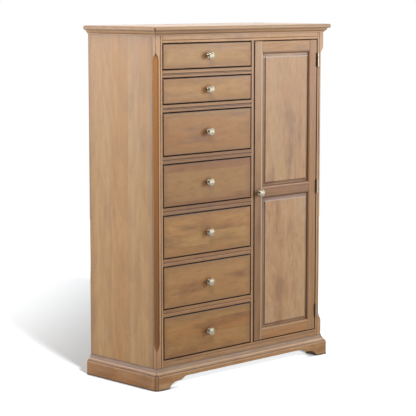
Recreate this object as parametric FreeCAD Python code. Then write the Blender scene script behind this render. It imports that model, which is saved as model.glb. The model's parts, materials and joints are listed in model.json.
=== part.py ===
"""A gentleman's chest: seven drawers on the left and a panelled door over shelves on the right.

Lengths are in millimetres. X runs along the front, Y from the front to the back and Z up from the
floor. The origin lies on the floor, under the middle of the top board. Every sub-part is written to
its own STEP file in parts/. A depth is counted backwards from the face of the chest.
"""
import FreeCAD
import Part
import math
import os

from FreeCAD import Vector

# The whole chest
height = 1520.0
case_width = 1027.0
case_depth = 428.0
case_clear = 50.0
overrun = 5.0

# Top board and the moulding under it
top_thick = 19.0
top_overhang = 27.0
top_facet = 7.7
crown_height = 18.0
crown_out = 15.5
crown_step = 3.0
crown_lip = 4.0
crown_bow = 2.0
crown_facet = 5.4

# Base boards, from the floor upwards
base_height = 90.0
base_out = 23.5
base_face = 56.0
nose_run = 6.0
nose_rise = 7.5
nose_bow = 1.6
step_run = 1.0
step_rise = 4.2
cove_bow = 3.0
base_lip = 1.5
base_facet = 16.0
foot_width = 73.5
foot_cove_run = 50.0
foot_cove_rise = 28.5
foot_shoulder = 10.0
foot_ogee_run = 44.0
foot_ogee_share = 0.5
apron_clear = 43.0
foot_block = 48.0

# Face frame
frame_thick = 20.0
post_width = 38.0
stile_width = 18.0
rail_width = 31.0
frieze_width = 31.0
sill_height = 119.5
door_opening = 408.0
bead_width = 10.0
bead_drop = 2.0
bead_ease = 1.0
quirk_width = 2.5
quirk_depth = 2.0
hollow_width = 8.0
hollow_bow = 2.2
chamfer_leg = 16.0
stop_inset = 35.0
upper_stop_run = 34.0
lower_stop_run = 45.0
stop_tip_share = 0.3

# Case behind the frame
side_thick = 20.0
floor_thick = 18.0
housing_deep = 8.0
back_thick = 6.0
back_rebate = 10.0
rear_rail_thick = 20.0

# Shelves in the door bay
shelf_shares = (0.25, 0.5, 0.75)
shelf_thick = 16.0
shelf_side_clear = 1.5
shelf_front_clear = 12.0
shelf_back_clear = 2.0
shelf_seat = 0.1
pin_radius = 2.5
pin_in = 10.0
pin_out = 8.0
pin_inset = 45.0
pin_spacing = 32.0
pin_places = (-1, 0, 1)
pin_fit = 0.05

# Drawers, from the top down
shallow_opening = 112.0
shallow_count = 2
deep_count = 5
reveal = 3.2
front_thick = 20.0
front_ease = 3.5
box_clear = 6.0
box_foot = 8.5
box_head = 16.0
box_depth = 380.0
box_side = 14.0
box_end = 12.0
tray_thick = 6.0
tray_rise = 8.0
tray_in = 5.0
tray_fit = 0.2
runner_high = 14.0
runner_in = 7.0
runner_fit = 0.4
runner_share = 0.5

# Knobs and their screws
knob_rose = 10.5
knob_rose_thick = 3.0
knob_collar = 8.0
knob_collar_thick = 2.0
knob_neck = 5.5
knob_face = 16.0
knob_out = 26.0
knob_rim = 5.0
knob_lip = 2.5
knob_lip_bow = 0.9
knob_swell = 1.5
knob_waist_bow = 3.5
knob_ring = 10.5
knob_ring_deep = 0.8
knob_ring_width = 1.6
screw_radius = 2.0
screw_grip = 10.0
screw_head = 4.5
screw_head_thick = 2.5
screw_fit = 0.1
screw_clear = 0.4

# Door
door_thick = 20.0
door_ease = 1.5
door_stile = 46.0
door_top_rail = 47.0
door_middle_rail = 39.0
door_bottom_rail = 45.0
door_middle_height = 785.0
sticking_width = 8.5
sticking_quirk = 0.8
sticking_deep = 6.8
sticking_bow = 2.2
groove_front = 7.5
groove_width = 6.0
groove_deep = 8.0
panel_fit = 0.2
panel_play = 1.0
bevel_width = 12.5
bevel_top = 4.2
shoulder_width = 3.0
field_drop = 0.7
door_knob_inset = 27.0

# Hinges and the catch
hinge_from_top = 90.0
hinge_from_foot = 86.0
hinge_height = 58.0
knuckle_share = 1 / 3
knuckle_radius = 4.25
knuckle_fit = 0.15
barrel_clear = 0.35
hinge_pin = 1.8
hinge_pin_fit = 0.05
hinge_pin_head = 3.4
hinge_pin_head_high = 2.2
leaf_thick = 1.5
leaf_deep = 18.0
leaf_clear = 0.3
hinge_screw = 1.5
hinge_screw_long = 14.0
hinge_screw_shares = (0.2, 0.8)
catch_width = 40.0
catch_high = 34.0
catch_thick = 14.0
catch_lap = 14.0
catch_inset = 20.0
catch_gap = 0.2
plate_width = 30.0
plate_high = 10.0
plate_thick = 1.0

# Places worked out from the sizes
front = top_overhang - (case_depth + top_overhang) / 2
back = front + case_depth
left = -case_width / 2
right = case_width / 2
case_top = height - top_thick
frieze_low = case_top - crown_height - frieze_width
frame_back = front + frame_thick
panel_front = back - back_thick
floor_low = sill_height - floor_thick
drawers_left = left + post_width
door_right = right - post_width
door_left = door_right - door_opening
drawers_right = door_left - stile_width
rail_count = shallow_count + deep_count - 1
shallow_stack = shallow_opening * shallow_count
deep_opening = (frieze_low - sill_height - shallow_stack - rail_width * rail_count) / deep_count
reach = case_width + case_depth


def block(x0, x1, y0, y1, z0, z1):
    """A straight-sided board between two corners."""
    return Part.makeBox(x1 - x0, y1 - y0, z1 - z0, Vector(x0, y0, z0))


def rod(radius, length, foot, direction):
    """A round bar from its foot along a direction."""
    return Part.makeCylinder(radius, length, Vector(*foot), Vector(*direction))


def bowed(start, end, bow):
    """The arc from start to end that stands off its chord by bow, to the left of the way it runs."""
    run = end[0] - start[0]
    rise = end[1] - start[1]
    chord = math.hypot(run, rise)
    middle = (
        (start[0] + end[0]) / 2 - rise / chord * bow,
        (start[1] + end[1]) / 2 + run / chord * bow,
    )
    return middle, end


def swept(start, end, heading):
    """The arc from start to end that leaves start along the heading, an angle in radians."""
    run = end[0] - start[0]
    rise = end[1] - start[1]
    turn = math.atan2(rise, run) - heading
    return bowed(start, end, math.hypot(run, rise) / 2 * math.tan(turn / 2) * -1)


def settled(start, end, heading):
    """The arc from start to end that reaches end along the heading."""
    chord = math.atan2(end[1] - start[1], end[0] - start[0])
    return swept(start, end, chord + chord - heading)


def ogee(start, end, heading, share):
    """Two arcs that leave start and reach end along one heading and meet at a share of the way."""
    bend = (start[0] + (end[0] - start[0]) * share, start[1] + (end[1] - start[1]) * share)
    return swept(start, bend, heading), settled(bend, end, heading)


def face(place, start, *steps):
    """A flat face inside an outline. A step is a point, or the middle and the end of an arc."""
    edges = []
    here = start
    for step in steps + (start,):
        if isinstance(step[0], tuple):
            middle, end = step
            edges.append(Part.Arc(place(*here), place(*middle), place(*end)).toShape())
        else:
            end = step
            if math.dist(here, end) > 0:
                edges.append(Part.makeLine(place(*here), place(*end)))
        here = end
    return Part.Face(Part.Wire(edges))


def prism_x(x0, x1, start, *steps):
    """A moulding that runs along X: its outline is in Y and Z."""
    return face(lambda y, z: Vector(x0, y, z), start, *steps).extrude(Vector(x1 - x0, 0, 0))


def prism_z(z0, z1, start, *steps):
    """A moulding that runs along Z: its outline is in X and Y."""
    return face(lambda x, y: Vector(x, y, z0), start, *steps).extrude(Vector(0, 0, z1 - z0))


def slab(profile, origin, angle, out, depth):
    """A long slab whose outer edge has the profile. It faces outwards from origin at the angle."""
    way = Vector(math.cos(angle), math.sin(angle), 0)
    along = Vector(-way.y, way.x, 0)

    def place(distance, level):
        return Vector(*origin, level) + way * (distance + out) - along * reach

    steps = [(-depth, profile[0][1])] + list(profile)
    last = profile[-1][1] if isinstance(profile[-1][0], tuple) else profile[-1]
    return face(place, *steps, (-depth, last[1])).extrude(along * (reach + reach))


def skirted(profile, furthest, facet):
    """The chest's whole plan with the profile round its front and sides and a facet on each corner."""
    ease = (math.sqrt(2) - 1) * furthest - facet / 2
    inwards = -math.pi / 2
    body = slab(profile, (0, front), inwards, 0, case_depth)
    body = body.common(slab(profile, (left, 0), math.pi, 0, reach))
    body = body.common(slab(profile, (right, 0), 0, 0, reach))
    body = body.common(slab(profile, (left, front), inwards - math.pi / 4, ease, reach))
    return body.common(slab(profile, (right, front), inwards + math.pi / 4, ease, reach))


def mitred(profile, furthest, facet, z0, z1):
    """A moulding round the case, cut at its mitres into a front, a left and a right piece."""
    ring = skirted(profile, furthest, facet).cut(block(left, right, front, back + overrun, z0, z1))
    wedge = prism_z(
        z0, z1,
        (left, front), (left - reach, front - reach), (right + reach, front - reach), (right, front),
    )
    sides = sorted(ring.cut(wedge).Solids, key=lambda solid: solid.CenterOfMass.x)
    return ring.common(wedge).Solids[0], sides[0], sides[-1]


def top_board():
    """One board whose front and side edges are rounded to a full nose."""
    nose = top_thick / 2
    profile = (
        (top_overhang - nose, case_top),
        ((top_overhang, case_top + nose), (top_overhang - nose, height)),
    )
    return skirted(profile, top_overhang, top_facet)


def crown_moulding():
    """The bowed moulding under the top board, in three mitred pieces."""
    low = case_top - crown_height
    shoulder = (crown_step, low + crown_lip)
    profile = ((crown_step, low), shoulder, bowed(shoulder, (crown_out, case_top), -crown_bow))
    return mitred(profile, crown_out, crown_facet, low, case_top)


def base_boards():
    """The three mitred base boards: a plain face, a round nose, a small step and a hollow above it."""
    nose = (base_out, base_face)
    nose_top = (base_out - nose_run, base_face + nose_rise)
    step_top = (nose_top[0] - step_run, nose_top[1] + step_rise)
    profile = (
        (base_out, 0),
        nose,
        bowed(nose, nose_top, -nose_bow),
        step_top,
        bowed(step_top, (base_lip, base_height), cove_bow),
    )
    middle, base_left, base_right = mitred(profile, base_out, base_facet, 0, base_height)
    return middle.cut(apron_hollow()), Part.makeCompound([base_left, base_right])


def apron_hollow():
    """The space under the front apron, between the two bracket feet."""
    toe = left - base_out + foot_width
    cove = (toe + foot_cove_run, foot_cove_rise)
    shoulder = (cove[0] + foot_shoulder, foot_cove_rise)
    crest = (shoulder[0] + foot_ogee_run, apron_clear)
    climb = 2 * math.atan2(foot_cove_rise, foot_cove_run)
    rise, settle = ogee(shoulder, crest, 0, foot_ogee_share)
    ways = [(toe, -overrun), (toe, 0), swept((toe, 0), cove, climb), shoulder, rise, settle]
    half = face(lambda x, z: Vector(x, front - reach, z), *ways, (0, apron_clear), (0, -overrun))
    half = half.extrude(Vector(0, reach, 0))
    return half.fuse(half.mirror(Vector(0, 0, 0), Vector(1, 0, 0)))


def foot_blocks():
    """Four glued blocks inside the base. They carry the corners of the case."""
    blocks = []
    for x in (left, right - foot_block):
        for y in (front, back - foot_block):
            blocks.append(block(x, x + foot_block, y, y + foot_block, 0, case_clear))
    return Part.makeCompound(blocks)


def corner_post(corner, side):
    """A front post with a bead line beside the opening and a stopped chamfer on its outer corner.

    side is 1 for the left post, whose opening lies towards +X, and -1 for the right post.
    """
    inner = corner + side * post_width
    quirk = inner - side * bead_width
    post = prism_z(
        case_clear, case_top,
        (corner, frame_back), (corner, front),
        (quirk - side * quirk_width, front), (quirk - side * quirk_width / 2, front + quirk_depth),
        (quirk, front), (inner - side * bead_ease, front),
        (inner, front + bead_ease), (inner, frame_back),
    )
    deep = chamfer_leg / math.sqrt(2)
    low = sill_height + stop_inset
    high = frieze_low - stop_inset
    way = Vector(side, 1, 0).normalize()
    across = Vector(-way.y, way.x, 0)
    start = Vector(corner, front, 0) - across * chamfer_leg

    def place(inwards, level):
        return start + way * inwards + Vector(0, 0, level)

    upwards = math.pi / 2
    into, settle = ogee((0, low), (deep, low + lower_stop_run), upwards, stop_tip_share)
    leave, out = ogee((deep, high - upper_stop_run), (0, high), upwards, 1 - stop_tip_share)
    cutter = face(
        place, (-overrun, low), (0, low), into, settle,
        (deep, high - upper_stop_run), leave, out, (-overrun, high),
    )
    return post.cut(cutter.extrude(across * (chamfer_leg + chamfer_leg)))


def centre_stile():
    """The upright between the drawers and the door, with the bead on the drawers' side."""
    bead = drawers_right + bead_width
    return prism_z(
        sill_height, frieze_low,
        (drawers_right, frame_back), (drawers_right, front + bead_ease),
        (drawers_right + bead_ease, front), (bead - bead_ease, front),
        (bead, front + bead_ease), (bead, front + bead_drop),
        (door_left, front + bead_drop), (door_left, frame_back),
    )


def drawer_rail(low):
    """A rail between two drawers, with a hollow above the bead on its lower edge."""
    high = low + rail_width
    eased = front + bead_ease
    foot = (front, low + bead_width)
    brim = (front, low + bead_width + hollow_width)
    return prism_x(
        drawers_left, drawers_right,
        (frame_back, low), (eased, low), (front, low + bead_ease), foot, bowed(foot, brim, -hollow_bow),
        (front, high - bead_ease), (eased, high), (frame_back, high),
    )


def edge_rail(opening, far):
    """A rail above or below the openings, with a bead line at the opening's edge."""
    way = 1 if far > opening else -1
    bead = opening + way * bead_width
    return prism_x(
        drawers_left, door_right,
        (frame_back, opening), (front + bead_ease, opening), (front, opening + way * bead_ease),
        (front, bead), (front + quirk_depth, bead + way * quirk_width / 2),
        (front, bead + way * quirk_width), (front, far), (frame_back, far),
    )


def pin_holes(wall, way, radius, shelf_levels, places, length, start):
    """Rods where the shelf pins go into one wall of the door bay, at the front and at the back."""
    rods = []
    for level in shelf_levels:
        for place in places:
            for y in (frame_back + pin_inset, panel_front - pin_inset):
                foot = (wall + way * start, y, level + place * pin_spacing)
                rods.append(rod(radius, length, foot, (-way, 0, 0)))
    return rods


def pin_levels():
    """The heights of the pins' axes, under each shelf."""
    span = frieze_low - sill_height
    return [
        sill_height + span * share - shelf_thick / 2 - shelf_seat - pin_radius
        for share in shelf_shares
    ]


def side_panel(outer, side):
    """A solid side with a housing for the case floor and a rebate for the back."""
    inner = outer + side * side_thick
    lows = sorted((outer, inner))
    panel = block(*lows, frame_back, back, case_clear, case_top)
    housing = sorted((inner - side * housing_deep, inner))
    panel = panel.cut(block(*housing, frame_back, panel_front, floor_low, sill_height))
    rebate = sorted((inner - side * back_rebate, inner))
    return panel.cut(block(*rebate, panel_front, back, case_clear, case_top))


def partition():
    """The upright board between the drawer bay and the door bay."""
    return block(drawers_right, door_left, frame_back, panel_front, sill_height, case_top)


def case_floor():
    """The board under both bays, let into the sides."""
    reach_left = left + side_thick - housing_deep
    reach_right = right - side_thick + housing_deep
    return block(reach_left, reach_right, frame_back, panel_front, floor_low, sill_height)


def back_panel():
    """A thin panel in the rebates of the two sides."""
    inset = side_thick - back_rebate
    return block(left + inset, right - inset, panel_front, back, case_clear, case_top)


def rear_rail():
    """A rail under the case floor, in front of the back panel."""
    return block(
        left + side_thick, right - side_thick,
        panel_front - rear_rail_thick, panel_front, case_clear, floor_low,
    )


def shelves():
    """Adjustable shelves in the door bay, resting on pins."""
    boards = []
    for level in pin_levels():
        low = level + pin_radius + shelf_seat
        boards.append(block(
            door_left + shelf_side_clear, right - side_thick - shelf_side_clear,
            frame_back + shelf_front_clear, panel_front - shelf_back_clear,
            low, low + shelf_thick,
        ))
    return Part.makeCompound(boards)


def shelf_pins():
    """Four pins under each shelf, two in the partition and two in the side."""
    both = pin_in + pin_out
    pins = pin_holes(door_left, 1, pin_radius, pin_levels(), (0,), both, pin_out)
    pins += pin_holes(right - side_thick, -1, pin_radius, pin_levels(), (0,), both, pin_out)
    return Part.makeCompound(pins)


def screw_and_bore(face_y, grip_y, x, z):
    """A screw that pulls a knob on to face_y from inside, at grip_y, and the bore that it passes."""
    shank_front = face_y - screw_grip
    shank = rod(screw_radius, grip_y - shank_front, (x, shank_front, z), (0, 1, 0))
    head = rod(screw_head, screw_head_thick, (x, grip_y, z), (0, 1, 0))
    bore = rod(screw_radius + screw_clear, grip_y - face_y, (x, face_y, z), (0, 1, 0))
    return shank.fuse(head).removeSplitter(), bore


def knob(x, face_y, z):
    """A turned knob: a stepped rose, a waisted neck and a face with a shallow ring cut in it."""
    collar_front = knob_rose_thick + knob_collar_thick
    neck = (knob_neck, collar_front)
    rim = (knob_face, knob_out - knob_rim)
    plate = knob_out - knob_swell
    lip = (knob_face - knob_lip, plate)
    ring_out = knob_ring + knob_ring_width
    disc = (knob_ring, plate)
    profile = face(
        lambda radius, out: Vector(radius, -out, 0),
        (0, 0), (knob_rose, 0), (knob_rose, knob_rose_thick), (knob_collar, knob_rose_thick),
        (knob_collar, collar_front), neck, bowed(neck, rim, knob_waist_bow),
        bowed(rim, lip, -knob_lip_bow), (ring_out, plate), (ring_out, plate - knob_ring_deep),
        (knob_ring, plate - knob_ring_deep), disc, settled(disc, (0, knob_out), math.pi),
    )
    turned = profile.revolve(Vector(0, 0, 0), Vector(0, 1, 0), 360)
    turned = turned.cut(rod(screw_radius + screw_fit, screw_grip + screw_fit, (0, 0, 0), (0, -1, 0)))
    turned.translate(Vector(x, face_y, z))
    return turned


def drawer_places():
    """The lower edge and the height of each drawer opening, from the top down."""
    places = []
    top = frieze_low
    for tall in [shallow_opening] * shallow_count + [deep_opening] * deep_count:
        places.append((top - tall, tall))
        top -= tall + rail_width
    return places


def runner_middle(low, tall):
    """The height of the middle of a drawer's runners."""
    box_low = low + box_foot
    return box_low + (tall - box_foot - box_head) * runner_share


def drawer_runners():
    """Battens on the left side and on the partition. The drawers' grooved sides hang on them."""
    battens = []
    grip = box_clear + runner_in - runner_fit
    for low, tall in drawer_places():
        middle = runner_middle(low, tall)
        for x0, x1 in (
            (left + side_thick, drawers_left + grip),
            (drawers_right - grip, drawers_right),
        ):
            battens.append(block(
                x0, x1, frame_back, panel_front,
                middle - runner_high / 2, middle + runner_high / 2,
            ))
    return Part.makeCompound(battens)


def drawer(low, tall):
    """One drawer: its front, its box, its bottom and its knob."""
    x0 = drawers_left + reveal
    x1 = drawers_right - reveal
    board = block(x0, x1, front, front + front_thick, low + reveal, low + tall - reveal)
    front_edges = [edge for edge in board.Edges if edge.BoundBox.YMax < front + front_ease]
    board = board.makeFillet(front_ease, front_edges)

    outer_left = drawers_left + box_clear
    outer_right = drawers_right - box_clear
    box_front = front + front_thick
    box_back = box_front + box_depth
    box_low = low + box_foot
    box_high = low + tall - box_head
    sides = [
        block(outer_left, outer_left + box_side, box_front, box_back, box_low, box_high),
        block(outer_right - box_side, outer_right, box_front, box_back, box_low, box_high),
    ]
    middle = runner_middle(low, tall)
    half_groove = runner_high / 2 + runner_fit
    for x in (outer_left, outer_right - runner_in):
        groove = block(x, x + runner_in, box_front, box_back, middle - half_groove, middle + half_groove)
        sides = [side.cut(groove) for side in sides]
    inner = (outer_left + box_side, outer_right - box_side)
    ends = [
        block(*inner, box_front, box_front + box_end, box_low, box_high),
        block(*inner, box_back - box_end, box_back, box_low, box_high),
    ]
    tray_low = box_low + tray_rise
    tray_x = (inner[0] - tray_in, inner[1] + tray_in)
    tray_y = (box_front + box_end - tray_in, box_back - box_end + tray_in)
    channel = block(*tray_x, *tray_y, tray_low - tray_fit, tray_low + tray_thick + tray_fit)
    bottom = block(
        tray_x[0] + tray_fit, tray_x[1] - tray_fit, tray_y[0] + tray_fit, tray_y[1] - tray_fit,
        tray_low, tray_low + tray_thick,
    )
    boards = [piece.cut(channel) for piece in sides + ends]

    knob_x = (x0 + x1) / 2
    knob_z = low + tall / 2
    screw, bore = screw_and_bore(front, box_front + box_end, knob_x, knob_z)
    boards = [piece.cut(bore) for piece in boards]
    handle = Part.makeCompound([knob(knob_x, front, knob_z), screw])
    return board.cut(bore), Part.makeCompound(boards), bottom, handle


def door_sizes():
    """The door's outer edges and the heights where the rails' flat faces begin and end."""
    x0 = door_left + reveal
    x1 = door_right - reveal
    z0 = sill_height + reveal
    z1 = frieze_low - reveal
    middle = (
        door_middle_height - door_middle_rail / 2,
        door_middle_height + door_middle_rail / 2,
    )
    return x0, x1, z0, z1, middle


def sticking(edge, way):
    """The moulded and grooved inner edge of a door member, from its face to its back.

    Points are (place across the member, depth). way is 1 where the panel lies towards +.
    """
    rim = edge + way * sticking_width
    floor = rim - way * groove_deep
    start = (edge, sticking_quirk)
    end = (rim, sticking_deep)
    return [
        (edge, 0), start, bowed(start, end, -way * sticking_bow),
        (rim, groove_front), (floor, groove_front),
        (floor, groove_front + groove_width), (rim, groove_front + groove_width),
        (rim, door_thick),
    ]


def shifted(steps, swap):
    """The steps of an outline with the depth counted from the face, as X and Y or as Y and Z."""
    def move(point):
        return (front + point[1], point[0]) if swap else (point[0], front + point[1])

    moved = []
    for step in steps:
        if isinstance(step[0], tuple):
            moved.append((move(step[0]), move(step[1])))
        else:
            moved.append(move(step))
    return moved


def door_upright(outer, way):
    """A full-height stile of the door. way is 1 for the one whose panel lies towards +X."""
    x0, x1, z0, z1, middle = door_sizes()
    steps = [(outer, door_thick), (outer, door_ease), (outer + way * door_ease, 0)]
    steps += sticking(outer + way * door_stile, way)
    return prism_z(z0, z1, *shifted(steps, False))


def door_rails(stiles):
    """The top, middle and bottom rails, cut to fit over the moulded edges of the stiles."""
    x0, x1, z0, z1, middle = door_sizes()
    top = [(z1, door_thick), (z1, door_ease), (z1 - door_ease, 0)]
    top += sticking(z1 - door_top_rail, -1)
    bottom = [(z0, door_thick), (z0, door_ease), (z0 + door_ease, 0)]
    bottom += sticking(z0 + door_bottom_rail, 1)
    centre = list(reversed(flipped(sticking(middle[0], -1)))) + sticking(middle[1], 1)
    rails = []
    for steps in (top, centre, bottom):
        rail = prism_x(x0 + door_stile, x1 - door_stile, *shifted(steps, True))
        rails.append(rail.cut(stiles[0]).cut(stiles[1]).Solids[0])
    return rails


def flipped(steps):
    """The same steps with each arc turned to be walked from its other end."""
    turned = []
    here = steps[0]
    for step in steps:
        if isinstance(step[0], tuple):
            turned[-1] = (step[0], here)
            turned.append(step[1])
            here = step[1]
        else:
            turned.append(step)
            here = step
    return turned


def panel_steps(low, high):
    """The section of a raised panel between the moulded edges at low and high."""
    tongue = groove_deep - panel_play
    back_face = groove_front + groove_width - panel_fit
    front_face = groove_front + panel_fit
    steps = [(low - tongue, back_face)]
    for rim, way in ((low, 1), (high, -1)):
        climb = [
            (rim - way * tongue, front_face), (rim, front_face),
            (rim + way * bevel_width, bevel_top),
            (rim + way * (bevel_width + shoulder_width), field_drop),
        ]
        steps += climb if way > 0 else climb[::-1]
    return steps + [(high + tongue, back_face)]


def door_panel(low, high):
    """A raised and fielded panel, held in the grooves with room to move."""
    x0, x1, z0, z1, middle = door_sizes()
    inset = door_stile + sticking_width
    across = prism_z(z0, z1, *shifted(panel_steps(x0 + inset, x1 - inset), False))
    upwards = prism_x(x0, x1, *shifted(panel_steps(low + sticking_width, high - sticking_width), True))
    return across.common(upwards)


def hinge_levels():
    """The middle height of each hinge, from the top down."""
    x0, x1, z0, z1, middle = door_sizes()
    top = z1 - hinge_from_top
    foot = z0 + hinge_from_foot
    return top, (top + foot) / 2, foot


hinge_x = door_right - reveal / 2
hinge_y = front - knuckle_radius - barrel_clear


def hinge_screws(level, way):
    """The screws of one leaf and the pilot holes that they cut. way is 1 in the post, -1 in the door."""
    wood = hinge_x + way * reveal / 2
    low = level - hinge_height / 2
    y = front + leaf_deep / 2
    screws = []
    for share in hinge_screw_shares:
        z = low + hinge_height * share
        screws.append(rod(hinge_screw, hinge_screw_long, (wood - way * leaf_thick, y, z), (way, 0, 0)))
    return screws


def hinge_leaf(level, way, knuckles):
    """A leaf with its knuckles: a flat plate in the gap and rings round the pin."""
    low = level - hinge_height / 2
    wood = hinge_x + way * reveal / 2
    plate_x = sorted((wood, wood - way * leaf_thick))
    plate = block(*plate_x, front + leaf_clear, front + leaf_deep, low, low + hinge_height)
    for start, end in knuckles:
        z0 = low + hinge_height * start + (knuckle_fit if start > 0 else 0)
        z1 = low + hinge_height * end - (knuckle_fit if end < 1 else 0)
        ring = rod(knuckle_radius, z1 - z0, (hinge_x, hinge_y, z0), (0, 0, 1))
        neck = block(*plate_x, hinge_y, front + leaf_clear, z0, z1)
        plate = plate.fuse(ring.fuse(neck))
    plate = plate.cut(rod(hinge_pin + hinge_pin_fit, hinge_height, (hinge_x, hinge_y, low), (0, 0, 1)))
    for screw in hinge_screws(level, way):
        plate = plate.cut(screw)
    return plate.removeSplitter()


def hinge_pins(level):
    """The loose pin of one hinge, with a small round head above and below the barrel."""
    low = level - hinge_height / 2
    pin = rod(hinge_pin, hinge_height, (hinge_x, hinge_y, low), (0, 0, 1))
    for z, way in ((low, -1), (low + hinge_height, 1)):
        head = rod(hinge_pin_head, hinge_pin_head_high, (hinge_x, hinge_y, z), (0, 0, way))
        pin = pin.fuse(head)
    return pin.removeSplitter()


def door_catch():
    """A magnetic catch behind the frieze, whose lower end meets a plate on the door."""
    x0 = door_left + reveal + catch_inset
    face_y = frame_back + plate_thick + catch_gap
    low = frieze_low - catch_lap
    body = block(x0, x0 + catch_width, frame_back, face_y + catch_thick, low, low + catch_high)
    return body.cut(block(x0, x0 + catch_width, frame_back, face_y, low, frieze_low))


def catch_plate():
    """The thin steel plate on the back of the door's top rail."""
    x0 = door_left + reveal + catch_inset + (catch_width - plate_width) / 2
    high = frieze_low - reveal
    y0 = front + door_thick
    return block(x0, x0 + plate_width, y0, y0 + plate_thick, high - plate_high, high)


def door():
    """The door's pieces: stiles, rails, panels, knob, hinge leaves and catch plate."""
    x0, x1, z0, z1, middle = door_sizes()
    latch = door_upright(x0, 1)
    hanging = door_upright(x1, -1)
    top, centre, bottom = door_rails((latch, hanging))
    screw, bore = screw_and_bore(front, front + door_thick, x0 + door_knob_inset, door_middle_height)
    handle = Part.makeCompound([knob(x0 + door_knob_inset, front, door_middle_height), screw])
    leaves = []
    for level in hinge_levels():
        leaves.append(hinge_leaf(level, -1, [(knuckle_share, 1 - knuckle_share)]))
        for fastener in hinge_screws(level, -1):
            leaves.append(fastener)
            hanging = hanging.cut(fastener)
    return {
        "door_latch_stile": latch.cut(bore),
        "door_hinge_stile": hanging,
        "door_top_rail": top,
        "door_middle_rail": centre,
        "door_bottom_rail": bottom,
        "door_upper_panel": door_panel(middle[1], z1 - door_top_rail),
        "door_lower_panel": door_panel(z0 + door_bottom_rail, middle[0]),
        "door_knob": handle,
        "hinge_door_leaves": Part.makeCompound(leaves),
        "catch_plate": catch_plate(),
    }


def case():
    """The standing part of the chest."""
    post = corner_post(right, -1)
    leaves = []
    for level in hinge_levels():
        leaves.append(hinge_leaf(level, 1, [(0, knuckle_share), (1 - knuckle_share, 1)]))
        leaves.append(hinge_pins(level))
        for fastener in hinge_screws(level, 1):
            leaves.append(fastener)
            post = post.cut(fastener)
    divider = partition()
    for hole in pin_holes(door_left, 1, pin_radius + pin_fit, pin_levels(), pin_places, pin_in, 0):
        divider = divider.cut(hole)
    wall = side_panel(right, -1)
    for hole in pin_holes(
        right - side_thick, -1, pin_radius + pin_fit, pin_levels(), pin_places, pin_in, 0
    ):
        wall = wall.cut(hole)
    rails = []
    for low, tall in drawer_places()[:-1]:
        rails.append(drawer_rail(low - rail_width))
    base_front, base_sides = base_boards()
    return {
        "side_panel_left": side_panel(left, 1),
        "side_panel_right": wall,
        "corner_post_left": corner_post(left, 1),
        "corner_post_right": post,
        "centre_stile": centre_stile(),
        "partition_panel": divider,
        "frieze_rail": edge_rail(frieze_low, case_top),
        "drawer_rails": Part.makeCompound(rails),
        "bottom_rail": edge_rail(sill_height, case_clear),
        "case_floor": case_floor(),
        "top_board": top_board(),
        "crown_moulding": Part.makeCompound(crown_moulding()),
        "back_panel": back_panel(),
        "rear_rail": rear_rail(),
        "base_front": base_front,
        "base_sides": base_sides,
        "foot_blocks": foot_blocks(),
        "drawer_runners": drawer_runners(),
        "shelves": shelves(),
        "shelf_pins": shelf_pins(),
        "hinge_case_leaves": Part.makeCompound(leaves),
        "door_catch": door_catch(),
    }


def main():
    """Builds every sub-part and writes it to parts/."""
    parts = case()
    parts.update(door())
    for number, (low, tall) in enumerate(drawer_places(), 1):
        board, box, bottom, handle = drawer(low, tall)
        parts[f"drawer_{number}_front"] = board
        parts[f"drawer_{number}_box"] = box
        parts[f"drawer_{number}_bottom"] = bottom
        parts[f"drawer_{number}_knob"] = handle
    os.makedirs("parts", exist_ok=True)
    for name, shape in parts.items():
        shape.exportStep(f"parts/{name}.step")
    print(len(parts), "sub-parts,", sum(len(shape.Solids) for shape in parts.values()), "solids")


main()
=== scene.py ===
"""The looks of a gentleman's chest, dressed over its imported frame. Lengths are in metres."""
import json
import math

import bmesh
import bpy
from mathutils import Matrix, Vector

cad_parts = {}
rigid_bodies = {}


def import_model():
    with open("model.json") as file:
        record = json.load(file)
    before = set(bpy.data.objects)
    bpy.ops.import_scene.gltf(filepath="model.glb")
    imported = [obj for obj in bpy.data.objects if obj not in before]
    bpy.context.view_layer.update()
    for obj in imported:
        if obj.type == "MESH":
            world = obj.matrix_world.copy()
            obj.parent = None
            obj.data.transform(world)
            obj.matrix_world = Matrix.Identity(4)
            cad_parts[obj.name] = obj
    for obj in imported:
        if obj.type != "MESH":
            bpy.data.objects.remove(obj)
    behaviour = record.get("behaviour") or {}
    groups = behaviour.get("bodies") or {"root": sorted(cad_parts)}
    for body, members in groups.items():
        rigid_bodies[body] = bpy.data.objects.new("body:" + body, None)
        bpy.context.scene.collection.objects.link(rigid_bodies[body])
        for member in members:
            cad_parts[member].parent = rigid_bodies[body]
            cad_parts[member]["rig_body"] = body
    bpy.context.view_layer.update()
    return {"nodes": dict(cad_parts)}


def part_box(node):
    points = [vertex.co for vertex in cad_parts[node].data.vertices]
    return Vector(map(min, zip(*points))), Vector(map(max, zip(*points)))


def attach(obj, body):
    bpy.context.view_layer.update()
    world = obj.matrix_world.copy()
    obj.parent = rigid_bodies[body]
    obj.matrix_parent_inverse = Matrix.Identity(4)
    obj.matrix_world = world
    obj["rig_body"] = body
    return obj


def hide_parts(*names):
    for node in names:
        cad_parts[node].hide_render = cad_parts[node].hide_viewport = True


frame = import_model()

# Camera, as it stood for the photograph
camera_place = (-5.0155, -5.1334, 1.6498)
camera_turn = math.radians(-44.225)
camera_dip = math.radians(7.482)
camera_lens = 140.58
camera_sensor = 36.0
view_reach = 100.0

# Softening of the boards' edges
weld = 1e-6
flat_angle = math.radians(0.5)
smooth_angle = math.radians(28)
board_ease = 0.0009
inner_ease = 0.0005

# How far in from an edge the lines on the door and the base lie
facet_in = 0.00566
sticking = 0.0085
glint_in = 0.0100
crest_in = 0.0212

# How wide the boards are that are glued side by side. A piece sawn from one board has one_board.
one_board = 0.5
side_strip = 0.082
rail_strip = 0.062
front_strip = 0.088
top_strip = 0.11
inner_strip = 0.09
shelf_strip = 0.1
back_strip = 0.28
tray_strip = 0.24

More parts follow.
